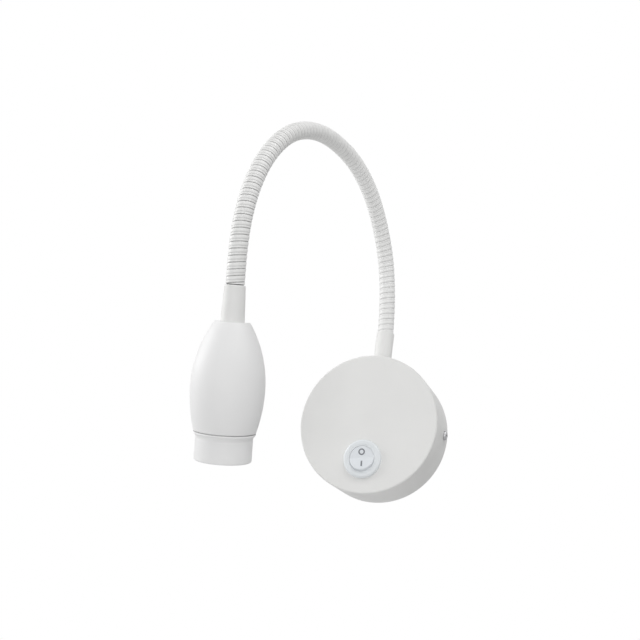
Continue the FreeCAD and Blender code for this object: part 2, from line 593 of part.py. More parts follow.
def make_contacts():
    """A see-saw contact under the plunger, and the two blades that pass through the housing's floor."""
    half = BLADE_SPACING / 2 + 1
    lever = box((-2, -half, LEVER_PIVOT - BLADE_THICKNESS / 2), (2, half, LEVER_PIVOT + BLADE_THICKNESS / 2))
    tilt = Placement(Vector(), Rotation(Vector(1, 0, 0), ROCKER_HALF_ANGLE / 2), Vector(0, 0, LEVER_PIVOT))
    save("contact_lever", place(place(lever, tilt), SWITCH_FRAME))
    floor = SWITCH_BACK + SWITCH_FLOOR
    blades = []
    for side in (-1, 1):
        y = side * BLADE_SPACING / 2
        low = (-BLADE_WIDTH / 2, y - BLADE_THICKNESS / 2, SWITCH_BACK - BLADE_LENGTH)
        high = (BLADE_WIDTH / 2, y + BLADE_THICKNESS / 2, floor + 0.6)
        blades.append(place(box(low, high), SWITCH_FRAME))
    save("switch_terminals", Part.makeCompound(blades))


# ---------------------------------------------------------------- gooseneck
def ribbed_outline(bottom, count):
    """A stack of ribs about Z as one ruled loft: each rib is a groove edge, a band and a groove."""
    groove_r = HOSE_R - RIB_DEPTH
    circles = []
    for k in range(count):
        foot = bottom + k * RIB_PITCH
        stations = [(foot, groove_r), (foot + RIB_FLANK, HOSE_R), (foot + RIB_FLANK + RIB_BAND, HOSE_R),
                    (foot + 2 * RIB_FLANK + RIB_BAND, groove_r)]
        circles += stations
    circles.append((bottom + count * RIB_PITCH - CUP_CLEARANCE, groove_r))
    wires = [Part.Wire(Part.makeCircle(r, Vector(0, 0, z))) for z, r in circles]
    return Part.makeLoft(wires, True, True)


def ball_end(pivot_height):
    """The domed upper end of a link or ferrule: a zone of a ball centred on the next pivot."""
    neck_r = HOSE_R - RIB_DEPTH
    dome = Part.makeSphere(BALL_RADIUS, Vector(0, 0, pivot_height))
    return dome.common(Part.makeCylinder(neck_r, 2 * BALL_RADIUS, Vector(0, 0, pivot_height - 0.5)))


def make_hose_links():
    bottom = BALL_RIM + CUP_CLEARANCE
    link = ribbed_outline(bottom, RIBS_PER_LINK).fuse(ball_end(LINK_LENGTH))
    link = link.cut(Part.makeSphere(CUP_RADIUS))
    link = link.cut(Part.makeCylinder(BORE_R, 2 * LINK_LENGTH, Vector(0, 0, -LINK_LENGTH / 2)))
    for number in range(LINK_COUNT):
        save("hose_link_%02d" % (number + 1), place(link, FRAMES[number]))


def make_base_ferrule():
    collar_r = FERRULE_DIAMETER / 2
    start = Placement(Vector(0, HOSE_Y, 0), Rotation())
    collar_top = FIRST_PIVOT_Z - 2 * CUP_CLEARANCE
    body = Part.makeCylinder(collar_r, collar_top - CANOPY_R + 3, Vector(0, 0, CANOPY_R - 3))
    neck_r = HOSE_R - RIB_DEPTH
    body = body.fuse(Part.makeCylinder(neck_r, BALL_RIM + CANOPY_EDGE_RADIUS, Vector(0, 0, collar_top - CANOPY_EDGE_RADIUS)))
    body = body.fuse(ball_end(FIRST_PIVOT_Z))
    body = place(body, start)
    body = body.cut(rod(CANOPY_R, (0, HOSE_Y - 20, 0), (0, HOSE_Y + 20, 0)))
    spigot_bottom = CANOPY_R - BASE_SPIGOT_LENGTH
    body = body.fuse(rod(SPIGOT_R, (0, HOSE_Y, spigot_bottom), (0, HOSE_Y, CANOPY_R + 1)))
    body = body.cut(rod(BORE_R, (0, HOSE_Y, 0), (0, HOSE_Y, FIRST_PIVOT_Z + 2 * BALL_RADIUS)))
    save("base_ferrule", body)

    washer_r = WASHER_DIAMETER / 2
    washer_top = math.sqrt(CANOPY_INNER_R ** 2 - washer_r ** 2)
    spigot_hole = SPIGOT_R + THREAD_CLEARANCE
    washer = rod(washer_r, (0, HOSE_Y, washer_top - WASHER_THICKNESS), (0, HOSE_Y, washer_top))
    save("lock_washer", washer.cut(rod(spigot_hole, (0, HOSE_Y, 0), (0, HOSE_Y, CANOPY_R))))
    nut_bottom = washer_top - WASHER_THICKNESS - NUT_THICKNESS
    nut = place(hexagon(NUT_ACROSS_FLATS, nut_bottom, NUT_THICKNESS), start)
    save("hose_nut", nut.cut(rod(spigot_hole, (0, HOSE_Y, 0), (0, HOSE_Y, CANOPY_R))))


def make_flex_lead():
    """The sheathed two-core lead from the driver, up the ferrule and through every link."""
    points = [(0, HOSE_Y, CONNECTOR_TOP)]
    for frame in FRAMES:
        base = frame.Base
        points.append((base.x, base.y, base.z))
    end = HEAD_FRAME.multVec(Vector(0, 0, SINK_FACE - 0.3))
    points.append((end.x, end.y, end.z))
    save("flex_lead", tube(points, FLEX_LEAD_DIAMETER, "flex lead"))


# ---------------------------------------------------------------- lamp head
def head_radius(height, inset):
    """The shell's radius at a height along the head: two arcs that meet at its widest place."""
    widest = HEAD_DIAMETER / 2
    if height < HEAD_WIDEST:
        end_r, run = SHOULDER_DIAMETER / 2, HEAD_WIDEST - HEAD_FERRULE_LENGTH
    else:
        end_r, run = MOUTH_R, HEAD_MOUTH - HEAD_WIDEST
    drop = widest - end_r
    bend_r = (drop ** 2 + run ** 2) / (2 * drop)
    away = height - HEAD_WIDEST
    return widest - bend_r + math.sqrt(bend_r ** 2 - away ** 2) - inset


def shell_side(inset, top, bottom):
    """Two arcs of the shell's outline, from its top to its mouth, inset by a wall."""
    def at(height):
        return (head_radius(height, inset), height)
    upper = arc(at(top), at((top + HEAD_WIDEST) / 2), at(HEAD_WIDEST))
    lower = arc(at(HEAD_WIDEST), at((HEAD_WIDEST + bottom) / 2), at(bottom))
    return [upper, lower]


def make_head_ferrule():
    top_r = FERRULE_DIAMETER / 2
    end_r = HEAD_FERRULE_END_DIAMETER / 2
    end = HEAD_FERRULE_LENGTH
    spigot_end = end + HEAD_SPIGOT_LENGTH
    body = turned([(0, 0), (top_r - 0.4, 0), (top_r, 0.4), (end_r, end), (SPIGOT_R, end), (SPIGOT_R, spigot_end), (0, spigot_end)])
    body = body.cut(Part.makeSphere(CUP_RADIUS, Vector(0, 0, -CUP_RIM)))
    body = body.cut(Part.makeCylinder(BORE_R, spigot_end + 2, Vector(0, 0, -1)))
    save("head_ferrule", place(body, HEAD_FRAME))


def make_head_shell():
    top = HEAD_FERRULE_LENGTH
    chamfer_end = top + SHOULDER_CHAMFER
    inner_top = top + HEAD_WALL
    hole = SPIGOT_R + SEAT_GAP
    outer = shell_side(0, chamfer_end, HEAD_MOUTH)
    inner = shell_side(HEAD_WALL, inner_top, HEAD_MOUTH)
    chamfer_start = (head_radius(chamfer_end, 0) - SHOULDER_CHAMFER, top)
    edges = [line((hole, top), chamfer_start), line(chamfer_start, (head_radius(chamfer_end, 0), chamfer_end))]
    edges += outer
    edges += [line((head_radius(HEAD_MOUTH, 0), HEAD_MOUTH), (head_radius(HEAD_MOUTH, HEAD_WALL), HEAD_MOUTH))]
    edges += inner
    edges += [line((head_radius(inner_top, HEAD_WALL), inner_top), (hole, inner_top)), line((hole, inner_top), (hole, top))]
    save("head_shell", place(turned_edges(Part.sortEdges(edges)[0]), HEAD_FRAME))


def make_head_nut():
    bottom = HEAD_FERRULE_LENGTH + HEAD_WALL
    nut = hexagon(NUT_ACROSS_FLATS, bottom, NUT_THICKNESS)
    nut = nut.cut(Part.makeCylinder(SPIGOT_R + THREAD_CLEARANCE, 40, Vector(0, 0, bottom - 1)))
    save("head_nut", place(nut, HEAD_FRAME))


def make_front_ring():
    """It screws into the shell's mouth: a flared neck behind a plain cylinder."""
    back = HEAD_MOUTH - RING_SPIGOT_LENGTH
    seat = HEAD_MOUTH + GROOVE_WIDTH
    ring_r = RING_DIAMETER / 2
    flare_end = seat + RING_FLARE
    flange_r = MOUTH_R - SEAT_GAP
    edge = RING_EDGE_RADIUS
    lip_r = ring_r - RING_LIP
    flare_middle = (ring_r + (flange_r - ring_r) * 0.22, seat + 0.8 + (RING_FLARE - 0.8) * 0.36)
    edges = [line((RING_INNER_R, back), (RING_SPIGOT_R, back)), line((RING_SPIGOT_R, back), (RING_SPIGOT_R, seat)),
             line((RING_SPIGOT_R, seat), (flange_r, seat)), line((flange_r, seat), (flange_r, seat + 0.8)),
             arc((flange_r, seat + 0.8), flare_middle, (ring_r, flare_end)),
             line((ring_r, flare_end), (ring_r, RING_END - edge)),
             arc((ring_r, RING_END - edge), (ring_r - edge * 0.29, RING_END - edge * 0.29), (ring_r - edge, RING_END)),
             line((ring_r - edge, RING_END), (lip_r + 0.5, RING_END)), line((lip_r + 0.5, RING_END), (lip_r, RING_END - 0.5)),
             line((lip_r, RING_END - 0.5), (lip_r, LENS_FRONT + SEAT_GAP)),
             line((lip_r, LENS_FRONT + SEAT_GAP), (RING_INNER_R, LENS_FRONT + SEAT_GAP)),
             line((RING_INNER_R, LENS_FRONT + SEAT_GAP), (RING_INNER_R, back))]
    save("front_ring", place(turned_edges(Part.sortEdges(edges)[0]), HEAD_FRAME))


def led_screw_places():
    return [(side * LED_SCREW_CIRCLE / 2, 0) for side in (-1, 1)]


def make_light_engine():
    sink_r = SINK_DIAMETER / 2
    back = SINK_FACE - SINK_THICKNESS
    neck_r = SINK_NECK_DIAMETER / 2
    neck_top = HEAD_FERRULE_LENGTH + HEAD_WALL + NUT_THICKNESS + 0.3
    fin = SINK_THICKNESS / 5
    profile = [(0, neck_top), (neck_r, neck_top), (neck_r, back), (sink_r, back), (sink_r, back + fin), (sink_r - 3, back + fin),
               (sink_r - 3, back + 2 * fin), (sink_r, back + 2 * fin), (sink_r, back + 3 * fin), (sink_r - 3, back + 3 * fin),
               (sink_r - 3, back + 4 * fin), (sink_r, back + 4 * fin), (sink_r, SINK_FACE), (0, SINK_FACE)]
    sink = turned(profile)
    spigot_end = HEAD_FERRULE_LENGTH + HEAD_SPIGOT_LENGTH
    sink = sink.cut(Part.makeCylinder(SPIGOT_R + THREAD_CLEARANCE, spigot_end - neck_top + 2, Vector(0, 0, neck_top - 1)))
    sink = sink.cut(Part.makeCylinder(BORE_R, 2 * SINK_FACE))
    board_front = SINK_FACE + BOARD_THICKNESS
    board = Part.makeCylinder(LED_BOARD_DIAMETER / 2, BOARD_THICKNESS, Vector(0, 0, SINK_FACE))
    screws = []
    for x, y in led_screw_places():
        depth = BOARD_THICKNESS + SINK_THICKNESS * 0.6
        one = screw(LED_SCREW_DIAMETER, LED_SCREW_HEAD, LED_SCREW_DIAMETER * 0.6, depth)
        flip = Placement(Vector(x, y, board_front), Rotation())
        screws.append(place(place(one, flip), HEAD_FRAME))
        board = board.cut(rod(LED_SCREW_DIAMETER / 2 + SCREW_CLEARANCE, (x, y, SINK_FACE - 1), (x, y, board_front + 1)))
        sink = sink.cut(rod(LED_SCREW_DIAMETER / 2 + THREAD_CLEARANCE, (x, y, SINK_FACE - depth), (x, y, SINK_FACE + 1)))
    save("heat_sink", place(sink, HEAD_FRAME))
    save("led_board", place(board, HEAD_FRAME))
    save("led_board_screws", Part.makeCompound(screws))
    half = LED_SIZE / 2
    emitter = box((-half, -half, board_front), (half, half, board_front + LED_HEIGHT * 0.6))
    emitter = emitter.fuse(Part.makeCylinder(half * 0.8, LED_HEIGHT, Vector(0, 0, board_front)))
    save("led_emitter", place(emitter, HEAD_FRAME))
    holder_r = HOLDER_R - HOLDER_WALL
    holder = turned([(holder_r, SINK_FACE), (HOLDER_R, SINK_FACE), (HOLDER_R, LENS_BACK), (holder_r, LENS_BACK)])
    save("lens_holder", place(holder, HEAD_FRAME))


def make_lens():
    """A plane front and a domed back that sits inside the holder."""
    dome_r = HOLDER_R - HOLDER_WALL - SEAT_GAP
    apex = LENS_BACK - LENS_DOME
    ball_r = (dome_r ** 2 + LENS_DOME ** 2) / (2 * LENS_DOME)
    half_x = dome_r / 2
    half_z = apex + ball_r - math.sqrt(ball_r ** 2 - half_x ** 2)
    edges = [line((0, LENS_FRONT), (LENS_R, LENS_FRONT)), line((LENS_R, LENS_FRONT), (LENS_R, LENS_BACK)),
             line((LENS_R, LENS_BACK), (dome_r, LENS_BACK)), arc((dome_r, LENS_BACK), (half_x, half_z), (0, apex)),
             line((0, apex), (0, LENS_FRONT))]
    save("lens", place(turned_edges(edges), HEAD_FRAME))


make_canopy()
make_mounting_plate()
make_side_screws()
make_cable_grommet()
make_terminal_block()
make_earth_point()
make_driver()
make_leads()
make_switch_housing()
make_rocker()
make_contacts()
make_hose_links()
make_base_ferrule()
make_flex_lead()
make_head_ferrule()
make_head_shell()
make_head_nut()
make_front_ring()
make_light_engine()
make_lens()
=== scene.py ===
import json
import math

import bpy
from mathutils import Matrix, Vector

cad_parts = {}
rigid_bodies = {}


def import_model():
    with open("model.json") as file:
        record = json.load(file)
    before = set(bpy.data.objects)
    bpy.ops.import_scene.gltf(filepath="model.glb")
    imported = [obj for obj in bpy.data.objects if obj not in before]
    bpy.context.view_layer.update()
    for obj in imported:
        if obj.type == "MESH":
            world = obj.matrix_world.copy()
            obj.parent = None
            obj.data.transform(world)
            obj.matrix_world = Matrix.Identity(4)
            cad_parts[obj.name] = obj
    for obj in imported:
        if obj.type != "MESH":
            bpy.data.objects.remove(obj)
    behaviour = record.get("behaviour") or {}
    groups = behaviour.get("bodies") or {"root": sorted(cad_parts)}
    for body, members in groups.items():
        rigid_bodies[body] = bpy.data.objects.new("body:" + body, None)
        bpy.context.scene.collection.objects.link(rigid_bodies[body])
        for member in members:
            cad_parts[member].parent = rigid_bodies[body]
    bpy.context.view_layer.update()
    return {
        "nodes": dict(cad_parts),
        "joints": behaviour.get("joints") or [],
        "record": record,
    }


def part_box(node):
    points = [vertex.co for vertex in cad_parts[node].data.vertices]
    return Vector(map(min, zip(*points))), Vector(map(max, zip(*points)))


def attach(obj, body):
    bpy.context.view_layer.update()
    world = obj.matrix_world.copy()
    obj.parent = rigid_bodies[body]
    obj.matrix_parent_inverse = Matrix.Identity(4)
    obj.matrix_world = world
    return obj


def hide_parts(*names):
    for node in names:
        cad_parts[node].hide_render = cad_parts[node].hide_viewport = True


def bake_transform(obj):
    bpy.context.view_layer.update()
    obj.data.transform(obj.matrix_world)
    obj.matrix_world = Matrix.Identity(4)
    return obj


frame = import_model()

MM = 0.001

# ---------------------------------------------------------------- camera, as a viewer low on the right
CAMERA_AZIMUTH = 21.35          # degrees to the right of straight in front
CAMERA_ELEVATION = -18.34
CAMERA_ROLL = 8.36
CAMERA_DISTANCE = 600 * MM
AIM_RIGHT = -37.7 * MM          # where the view's centre lies beside and above the origin
AIM_UP = 71.7 * MM
FOCAL_PIXELS = 959.5            # for a picture 640 pixels wide
PICTURE_WIDTH = 640
SENSOR_WIDTH = 36.0
CLIP_START = 10 * MM

# ---------------------------------------------------------------- hose
HOSE_R = 5.0 * MM
HOSE_INNER_R = 3.3 * MM
RIB_PITCH = 3.45 * MM
WIDE_BAND = 0.64                # share of the pitch that the round wire takes
NARROW_DROP = 0.10 * MM         # the filler wire lies this much lower
FAINT_DEPTH = 0.28 * MM         # of the groove after the round wire, which paint half fills
FAINT_MARK = 0.35               # how strong that groove's painted shade is beside the other's
FAINT_SHADE_LENGTH = 120 * MM         # the painted groove shade is weakest over this length from the canopy
FULL_SHADE_LENGTH = 200 * MM          # and has grown to full strength from here on
# share of the painted groove shade that is left over the faint length
FAINT_SHADE_SHARE = 0.35
TUCKED_LENGTH = 0.6 * MM        # the last turn's end, tucked into the head ferrule and painted fully in shade
TUCKED_R = 4.4 * MM
GROOVE_DEPTH = 0.5 * MM
BALL_COVER_R = 4.68 * MM        # the hose's beginning stays outside the ferrule's ball
ROWS_PER_PITCH = 16
HOSE_SIDES = 44
HOSE_SHARP_ANGLE = math.radians(75)
WIRE_ROUNDNESS = 4              # power of the wire's curve from its crown down into the groove
MARK_START = 0.56               # share of a wire's half width where the groove's shade begins
MARK_CURVE = 1.3
FIRST_DROP = 1.0 * MM           # the first stretch begins this far below the first pivot
LAST_REACH = 1.9 * MM           # and the last one ends this far past the last pivot
BALL_COVER_LENGTH = 4.0 * MM
LEAD_R = 1.5 * MM
LEAD_SIDES = 12
LEAD_ROW_STEP = 6               # the lead takes every sixth row of the hose
LEAD_END_STEPS = 8
LEAD_END_GAP = 1.2 * MM         # between the lead's end and the middle of the LED board
CONNECTOR_DROP = 2.5 * MM       # from the driver board's top edge down to its connector


# ---------------------------------------------------------------- small helpers
def new_object(name, vertices, faces, smooth=True):
    mesh = bpy.data.meshes.new(name)
    mesh.from_pydata([tuple(v) for v in vertices], [], faces)
    mesh.update()
    obj = bpy.data.objects.new(name, mesh)
    bpy.context.scene.collection.objects.link(obj)
    if smooth:
        mesh.shade_smooth()
    return obj


def material(name):
    found = bpy.data.materials.new(name)
    found.use_nodes = True
    tree = found.node_tree
    return found, tree, tree.nodes["Principled BSDF"]


def node(tree, kind, **settings):
    made = tree.nodes.new(kind)
    for key, value in settings.items():
        if key in made.inputs:
            made.inputs[key].default_value = value
        else:
            setattr(made, key, value)
    return made


def noise(tree, scale, detail=3.0, roughness=0.55):
    """Noise in the part's own metres: a scale of 1000 has features about a millimetre across."""
    place = node(tree, "ShaderNodeTexCoord")
    made = node(tree, "ShaderNodeTexNoise", Scale=scale, Detail=detail, Roughness=roughness)
    tree.links.new(place.outputs["Object"], made.inputs["Vector"])
    return made


def mix_colours(tree, factor, first, second):
    made = node(tree, "ShaderNodeMix", data_type="RGBA")
    made.inputs[6].default_value = (*first, 1)
    made.inputs[7].default_value = (*second, 1)
    tree.links.new(factor, made.inputs[0])
    return made.outputs[2]


def spread(tree, value, low, high, to_low, to_high):
    made = node(tree, "ShaderNodeMapRange")
    for key, number in (("From Min", low), ("From Max", high), ("To Min", to_low), ("To Max", to_high)):
        made.inputs[key].default_value = number
    tree.links.new(value, made.inputs["Value"])
    return made.outputs["Result"]


def paint(name, light, dark, rough, peel_size, peel_depth, coat=0.0, speck=0.0):
    """Sprayed or moulded finish: slow tone drift, uneven gloss, orange peel and, if wanted, fine specks."""
    made, tree, shader = material(name)
    drift = noise(tree, 28.0, 4.0)
    tone = spread(tree, drift.outputs["Fac"], 0.35, 0.65, 0.0, 1.0)
    colour = mix_colours(tree, tone, light, dark)
    tree.links.new(colour, shader.inputs["Base Color"])
    smear = noise(tree, 90.0, 5.0)
    gloss = spread(tree, smear.outputs["Fac"], 0.3, 0.7, rough * 0.85, rough * 1.2)
    tree.links.new(gloss, shader.inputs["Roughness"])
    peel = noise(tree, 1000.0 / peel_size, 2.0)
    height = peel.outputs["Fac"]
    if speck:
        grit = noise(tree, 5200.0, 1.0)
        add = node(tree, "ShaderNodeMath", operation="MULTIPLY_ADD")
        add.inputs[1].default_value = speck
        tree.links.new(grit.outputs["Fac"], add.inputs[0])
        tree.links.new(height, add.inputs[2])
        height = add.outputs[0]
    bump = node(tree, "ShaderNodeBump", Strength=1.0, Distance=peel_depth * MM)
    tree.links.new(height, bump.inputs["Height"])
    tree.links.new(bump.outputs["Normal"], shader.inputs["Normal"])
    shader.inputs["Coat Weight"].default_value = coat
    shader.inputs["Coat Roughness"].default_value = 0.08
    return made, tree, shader, colour


def hose_paint():
    """White paint on the wound wire, with painted shade in the grooves that the mesh marks, made unevenly
    strong by noise.
    """
    light, dark = (0.85, 0.85, 0.845), (0.81, 0.81, 0.80)
    made, tree, shader, colour = paint("hose_white", light, dark, 0.38, 0.9, 0.008)
    mark = node(tree, "ShaderNodeAttribute", attribute_name="groove")
    # noise that makes the painted groove shade unevenly strong
    shade_unevenness = noise(tree, 420.0, 3.0)
    patch = spread(tree, shade_unevenness.outputs["Fac"], 0.3, 0.7, 0.75, 1.0)
    both = node(tree, "ShaderNodeMath", operation="MULTIPLY")
    tree.links.new(mark.outputs["Fac"], both.inputs[0])
    tree.links.new(patch, both.inputs[1])
    # painted shade: near-black mixed into the paint where the groove mark is
    shade = node(tree, "ShaderNodeMix", data_type="RGBA")
    shade.inputs[7].default_value = (0.05, 0.05, 0.05, 1)
    tree.links.new(both.outputs[0], shade.inputs[0])
    tree.links.new(colour, shade.inputs[6])
    tree.links.new(shade.outputs[2], shader.inputs["Base Color"])
    return made


def metal(name, light, dark, rough, grain=0.0):
    """Bare or plated metal with a drawn or turned grain along one axis."""
    made, tree, shader = material(name)
    place = node(tree, "ShaderNodeTexCoord")
    stretch = node(tree, "ShaderNodeMapping")
    stretch.inputs["Scale"].default_value = (1.0, 1.0, 1.0 + grain)
    tree.links.new(place.outputs["Object"], stretch.inputs["Vector"])
    lines = node(tree, "ShaderNodeTexNoise", Scale=700.0, Detail=4.0)
    tree.links.new(stretch.outputs["Vector"], lines.inputs["Vector"])
    tree.links.new(mix_colours(tree, lines.outputs["Fac"], light, dark), shader.inputs["Base Color"])
    gloss = spread(tree, lines.outputs["Fac"], 0.3, 0.7, rough * 0.8, rough * 1.25)
    tree.links.new(gloss, shader.inputs["Roughness"])
    bump = node(tree, "ShaderNodeBump", Strength=0.4, Distance=0.01 * MM)
    tree.links.new(lines.outputs["Fac"], bump.inputs["Height"])
    tree.links.new(bump.outputs["Normal"], shader.inputs["Normal"])
    shader.inputs["Metallic"].default_value = 1.0
    return made


def lens_plastic():
    made, tree, shader = material("lens_clear")
    frost = noise(tree, 1600.0, 2.0)
    tree.links.new(spread(tree, frost.outputs["Fac"], 0.3, 0.7, 0.10, 0.22), shader.inputs["Roughness"])
    tint = mix_colours(tree, frost.outputs["Fac"], (0.93, 0.95, 0.96), (0.88, 0.91, 0.92))
    tree.links.new(tint, shader.inputs["Base Color"])
    shader.inputs["Transmission Weight"].default_value = 0.85
    shader.inputs["IOR"].default_value = 1.49
    return made


canopy_white = paint("canopy_white", (0.775, 0.775, 0.765), (0.755, 0.755, 0.745), 0.50, 0.55, 0.010)[0]
head_white = paint("head_white", (0.84, 0.84, 0.84), (0.82, 0.82, 0.82), 0.50, 1.4, 0.004)[0]
ferrule_white = paint("ferrule_white", (0.81, 0.81, 0.80), (0.78, 0.78, 0.77), 0.50, 0.8, 0.005)[0]
bezel_white = paint("bezel_white", (0.76, 0.79, 0.81), (0.73, 0.76, 0.78), 0.36, 0.35, 0.004, speck=0.3)[0]
rocker_white = paint("rocker_white", (0.74, 0.77, 0.80), (0.71, 0.74, 0.77), 0.40, 0.30, 0.006, speck=0.5)[0]
mark_grey = paint("mark_grey", (0.20, 0.21, 0.23), (0.16, 0.17, 0.19), 0.5, 0.3, 0.002)[0]
nylon = paint("nylon", (0.78, 0.78, 0.76), (0.72, 0.72, 0.69), 0.5, 0.6, 0.006, speck=0.3)[0]
rubber = paint("rubber", (0.035, 0.035, 0.037), (0.022, 0.022, 0.024), 0.6, 0.5, 0.01, speck=0.5)[0]
sheath = paint("sheath", (0.74, 0.74, 0.72), (0.66, 0.66, 0.63), 0.45, 0.8, 0.008)[0]
board_green = paint("board_green", (0.02, 0.16, 0.07), (0.015, 0.12, 0.05), 0.3, 0.9, 0.006, coat=0.4)[0]
board_white = paint("board_white", (0.82, 0.82, 0.80), (0.76, 0.76, 0.74), 0.3, 0.9, 0.004, coat=0.3)[0]
phosphor = paint("phosphor", (0.85, 0.68, 0.12), (0.78, 0.60, 0.08), 0.35, 0.3, 0.004, speck=0.4)[0]
zinc = metal("zinc", (0.66, 0.67, 0.69), (0.54, 0.55, 0.57), 0.30, 2.0)
screw_grey = metal("screw_grey", (0.50, 0.50, 0.51), (0.38, 0.38, 0.39), 0.34, 1.0)
brass = metal("brass", (0.80, 0.62, 0.32), (0.68, 0.50, 0.24), 0.28, 3.0)
aluminium = metal("aluminium", (0.75, 0.76, 0.78), (0.62, 0.63, 0.65), 0.35, 5.0)
hose_white = hose_paint()
lens_clear = lens_plastic()

FINISHES = {
    "canopy_paint": canopy_white, "ferrule_paint": ferrule_white, "hose_paint": hose_white,
    "head_paint": head_white, "zinc_steel": zinc, "white_screw": screw_grey, "spring_steel": zinc,
    "brass": brass, "black_rubber": rubber, "white_nylon": nylon, "board_green": board_green,
    "board_white": board_white, "lead_sheath": sheath, "switch_white": bezel_white,
    "rocker_white": rocker_white, "sink_aluminium": aluminium, "led_yellow": phosphor,
    "clear_lens": lens_clear,
}


def finish_cad_nodes():
    slots = {row["node"]: row["material_slot"] for row in frame["record"]["subparts"]}
    for name, obj in frame["nodes"].items():
        obj.data.materials.clear()
        obj.data.materials.append(FINISHES[slots[name]])
    frame["nodes"]["head_ferrule"].data.materials[0] = ferrule_white


# ---------------------------------------------------------------- hose and its lead
def chain_joints():
    """The hose's joints from the canopy to the head, in order."""
    return [j for j in frame["joints"] if j["child"].startswith("link_") or j["child"] == "head"]


def bezier(a, b, c, t):
    return a * (1 - t) ** 2 + b * 2 * t * (1 - t) + c * t * t


def hose_stretches():
    """One stretch for each joint: its two bodies and the curve from one link's middle to the next."""
    joints = chain_joints()
    pivots = [Vector(j["pos_m"]) for j in joints]
    start = pivots[0] - Vector((0, 0, FIRST_DROP))
    last_along = (lens_middle() - pivots[-1]).normalized()
    stretches = []
    for k, joint in enumerate(joints):
        corner = pivots[k]
        if k + 1 < len(pivots):
            end = (corner + pivots[k + 1]) / 2
        else:
            end = corner + last_along * LAST_REACH
        stretches.append({"bodies": (joint["parent"], joint["child"]), "curve": (start, corner, end)})
        start = end
    return stretches


def lens_middle():
    """A point far down the head's axis."""
    low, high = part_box("lens")
    return (low + high) / 2


def sample_centreline(stretches, step):
    """Points, tangents and carried side vectors along the whole hose, with the length so far."""
    side = Vector((1, 0, 0))
    length = 0.0
    previous = None
    for stretch in stretches:
        a, b, c = stretch["curve"]
        chord = (b - a).length + (c - b).length
        count = max(4, round(chord / step))
        rows = []
        for i in range(count + 1):
            t = i / count
            point = bezier(a, b, c, t)
            tangent = ((b - a) * (1 - t) + (c - b) * t).normalized()
            if previous is not None:
                length += (point - previous).length
            previous = point
            side = (side - tangent * side.dot(tangent)).normalized()
            rows.append((point, tangent, side.copy(), length))
        stretch["rows"] = rows


def wire_profile(phase):
    """Radius and groove mark (the strength of painted shade) across one pitch: a round wire, then the lower
    filler wire.
    """
    if phase < WIDE_BAND:
        across = 2 * phase / WIDE_BAND - 1
        crown = 0.0
        open_groove = across < 0
    else:
        across = 2 * (phase - WIDE_BAND) / (1 - WIDE_BAND) - 1
        crown = NARROW_DROP
        open_groove = across > 0
    depth, darkest = (GROOVE_DEPTH, 1.0) if open_groove else (FAINT_DEPTH, FAINT_MARK)
    radius = HOSE_R - crown - (depth - crown) * across ** WIRE_ROUNDNESS
    return radius, darkest * max(0.0, (abs(across) - MARK_START) / (1 - MARK_START)) ** MARK_CURVE


def ring(row, radii):
    """One ring of points round a row of the centreline, with a radius for each point."""
    point, tangent, side, length = row
    other = tangent.cross(side)
    turns = [2 * math.pi * j / len(radii) for j in range(len(radii))]
    return [point + (side * math.cos(t) + other * math.sin(t)) * r for t, r in zip(turns, radii)]


def band(low, high, sides, inward=False):
    """Faces between two rings whose first points have the numbers low and high."""
    faces = []
    for j in range(sides):
        k = (j + 1) % sides
        if inward:
            faces.append((low + k, low + j, high + j, high + k))
        else:
            faces.append((low + j, low + k, high + k, high + j))
    return faces


def tube_mesh(name, rows, sides, radius_at, inner=None, inner_every=8):
    """A closed tube along the rows.  radius_at gives radius and groove mark (painted shade) for a length and
    an angle.
    """
    vertices, marks, faces = [], [], []
    for row in rows:
        profile = [radius_at(row[3], 2 * math.pi * j / sides) for j in range(sides)]
        vertices += ring(row, [radius for radius, mark in profile])
        marks += [mark for radius, mark in profile]
    last = (len(rows) - 1) * sides
    for first in range(0, last, sides):
        faces += band(first, first + sides, sides)
    if inner is None:
        faces += [tuple(reversed(range(sides))), tuple(range(last, last + sides))]
    else:
        picked = rows[:-1:inner_every] + rows[-1:]
        base = len(vertices)
        top = base + (len(picked) - 1) * sides
        for row in picked:
            vertices += ring(row, [inner] * sides)
            # the hose's inside is painted fully in shade
            marks += [1.0] * sides
        for first in range(base, top, sides):
            faces += band(first, first + sides, sides, inward=True)
        faces += band(0, base, sides, inward=True)
        faces += band(last, top, sides)
    obj = new_object(name, vertices, faces)
    attribute = obj.data.attributes.new("groove", "FLOAT", "POINT")
    attribute.data.foreach_set("value", marks)
    obj.data.set_sharp_from_angle(angle=HOSE_SHARP_ANGLE)
    return obj


def hose_radius(length, angle):
    phase = (length / RIB_PITCH - angle / (2 * math.pi)) % 1.0
    radius, mark = wire_profile(phase)
    if length < BALL_COVER_LENGTH:
        radius = max(radius, BALL_COVER_R)
    # the painted groove shade is weaker near the canopy and at full strength further along
    shade_growth = min(1.0, max(0.0, (length - FAINT_SHADE_LENGTH) / (FULL_SHADE_LENGTH - FAINT_SHADE_LENGTH)))
    return radius, mark * (FAINT_SHADE_SHARE + (1 - FAINT_SHADE_SHARE) * shade_growth)


